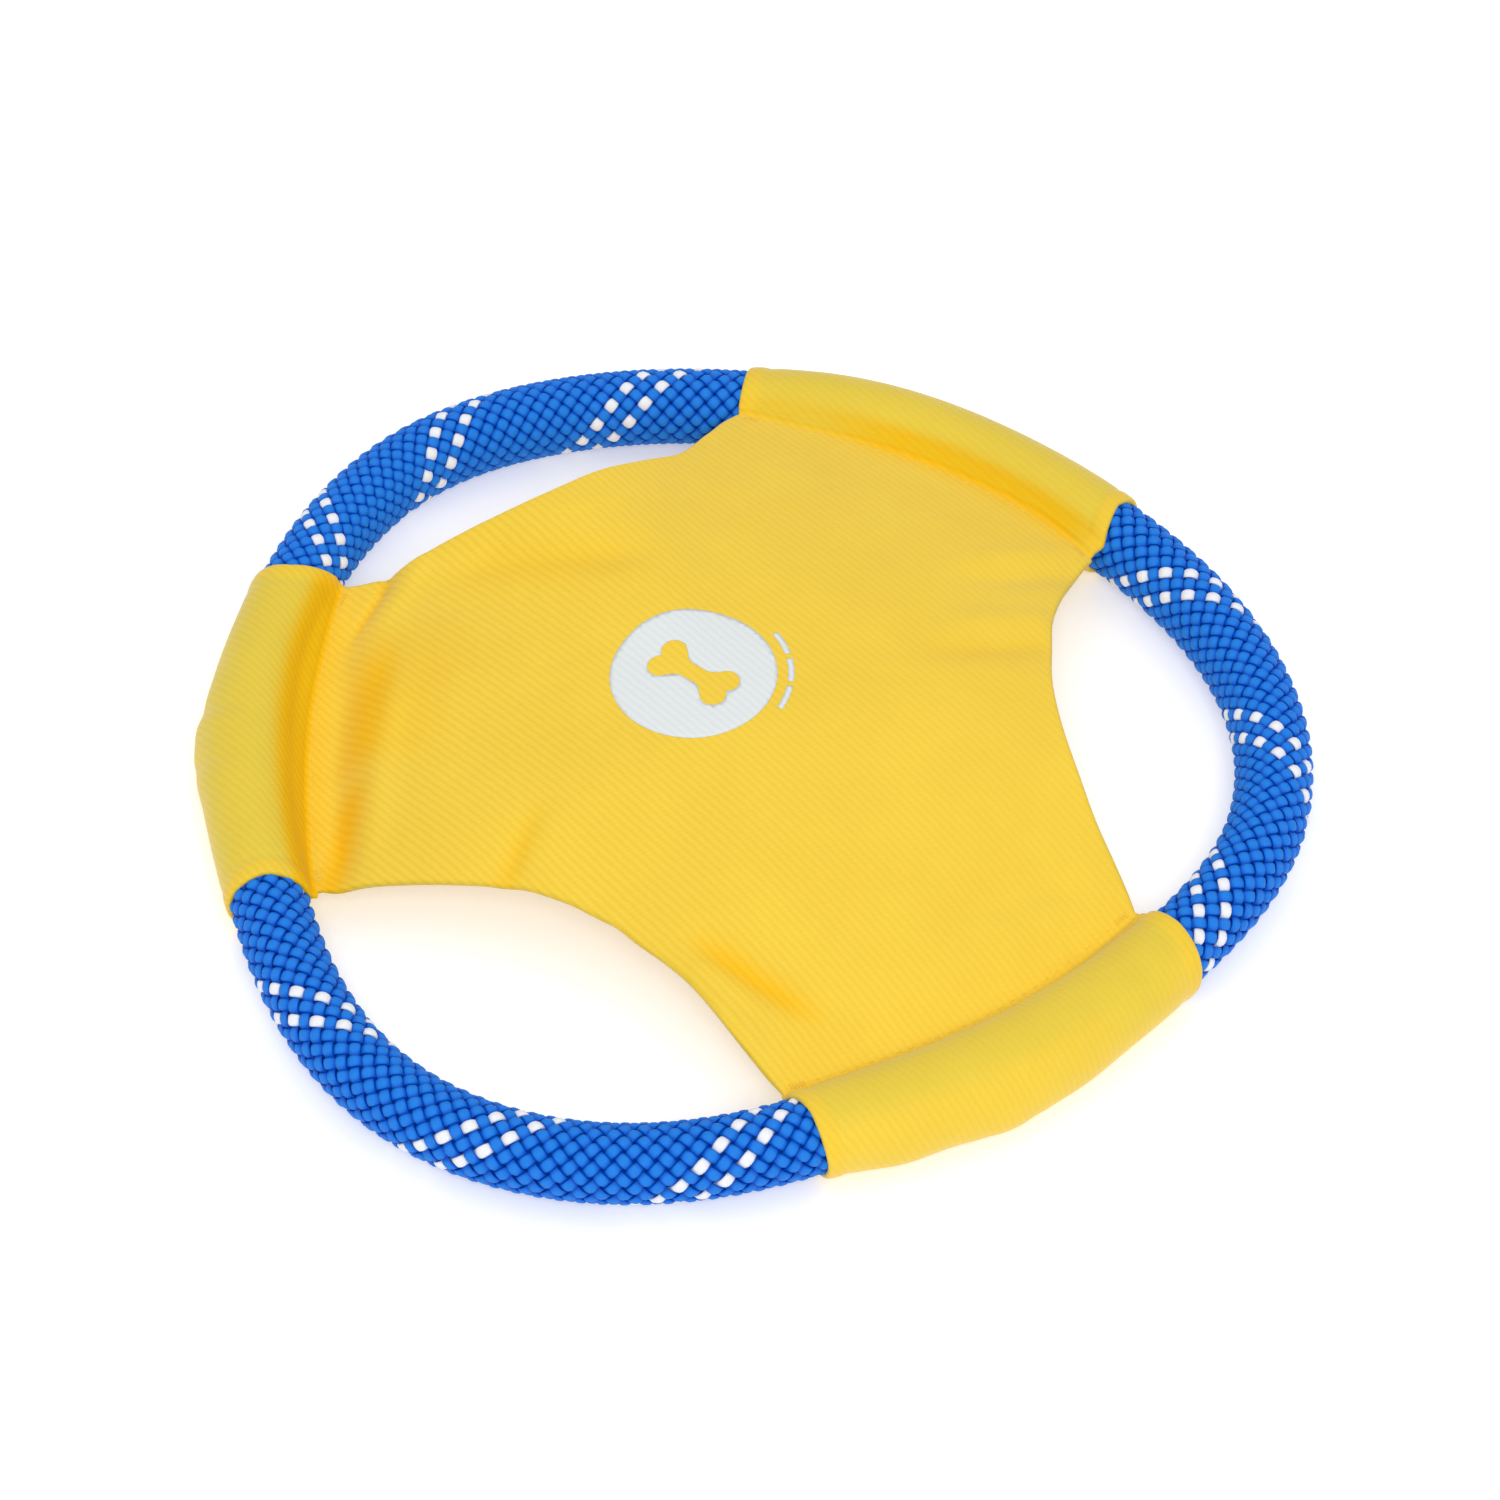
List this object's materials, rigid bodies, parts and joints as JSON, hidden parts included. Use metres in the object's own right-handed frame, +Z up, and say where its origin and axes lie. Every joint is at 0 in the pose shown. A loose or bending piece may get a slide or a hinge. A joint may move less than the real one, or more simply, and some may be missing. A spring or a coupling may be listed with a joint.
{
  "type": "flying ring",
  "caption": "Soft throwing ring: a braided rope ring running through three stitched sleeves of a domed two-ply fabric panel with curved cut-outs between them.",
  "frame": {"origin": "middle of the footprint, on the plane the ring rests on", "axes": "+Z up, square to the ring; +X to the right and +Y away from the camera in the usual three-quarter view"},
  "size_m": [0.2032, 0.1946, 0.0267],
  "materials": {
    "fabric_yellow": "woven twill polyester, matt with a soft sheen",
    "thread_yellow": "spun polyester sewing thread",
    "print_white": "thin heat-transfer print, satin",
    "rope_blue": "braided polypropylene multifilament, soft sheen",
    "tracer_white": "bright white multifilament tracer yarn",
    "core_white": "undyed polypropylene filler strand",
    "wrap_film": "shrink film over the butt joint"
  },
  "bodies": {
    "fabric_cover": {"panel_upper": "fabric_yellow", "panel_lower": "fabric_yellow", "seam_thread_1": "thread_yellow", "seam_thread_2": "thread_yellow", "seam_thread_3": "thread_yellow", "bar_tack_1": "thread_yellow", "bar_tack_2": "thread_yellow", "bar_tack_3": "thread_yellow", "bar_tack_4": "thread_yellow", "bar_tack_5": "thread_yellow", "bar_tack_6": "thread_yellow", "badge_print": "print_white"},
    "rope_ring": {"rope_sheath": "rope_blue", "core_strand_1": "core_white", "core_strand_2": "core_white", "core_strand_3": "core_white", "tracer_yarn_1": "tracer_white", "tracer_yarn_2": "tracer_white", "join_wrap": "wrap_film"}
  },
  "joints": [
    {"name": "rope_creep", "type": "hinge", "parent": "fabric_cover", "child": "rope_ring", "pos_m": [-0.00189, -0.00173, 0.0086], "axis": [0, 0, 1], "range_deg": [-3, 3]}
  ]
}
